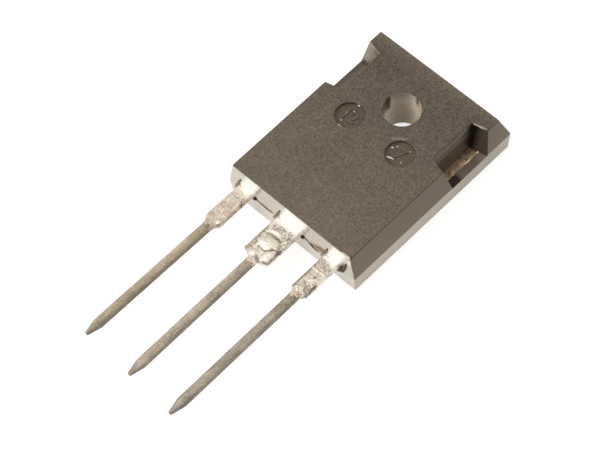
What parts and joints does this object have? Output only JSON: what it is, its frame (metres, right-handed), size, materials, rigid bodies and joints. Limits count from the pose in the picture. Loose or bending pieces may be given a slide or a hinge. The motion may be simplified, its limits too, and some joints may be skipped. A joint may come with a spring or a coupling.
{
  "type": "igbt transistor",
  "caption": "Power transistor in a flat drafted moulded body with a mounting hole, side clamp notches, a bare copper heat-sink back and straight tinned leads.",
  "frame": {"origin": "axis of the mounting hole, at the back (heat-sink) face", "axes": "+Z out of the moulded front face, +Y from the leads towards the hole end, +X from the gate lead towards the emitter lead"},
  "size_m": [0.0156, 0.0412, 0.005],
  "materials": {
    "epoxy_mould": "fine-grained moulded epoxy, brown-grey in strong light",
    "copper_frame": "copper, bare on the back and in the notches, tinned on the lead",
    "tinned_lead": "dull tin over copper, scraped and used",
    "solder": "lumpy bright solder",
    "silicon": "polished dark silicon",
    "bond_wire": "bright drawn aluminium"
  },
  "bodies": {
    "root": {"mould_body": "epoxy_mould", "collector_tab": "copper_frame", "gate_lead": "tinned_lead", "emitter_lead": "tinned_lead", "igbt_chip": "silicon", "igbt_chip_solder": "solder", "diode_chip": "silicon", "diode_chip_solder": "solder", "gate_bond_wire": "bond_wire", "emitter_bond_wire_1": "bond_wire", "emitter_bond_wire_2": "bond_wire", "diode_bond_wire_1": "bond_wire", "diode_bond_wire_2": "bond_wire", "gate_lead_solder": "solder", "emitter_lead_solder": "solder", "collector_lead_solder": "solder"}
  },
  "joints": []
}
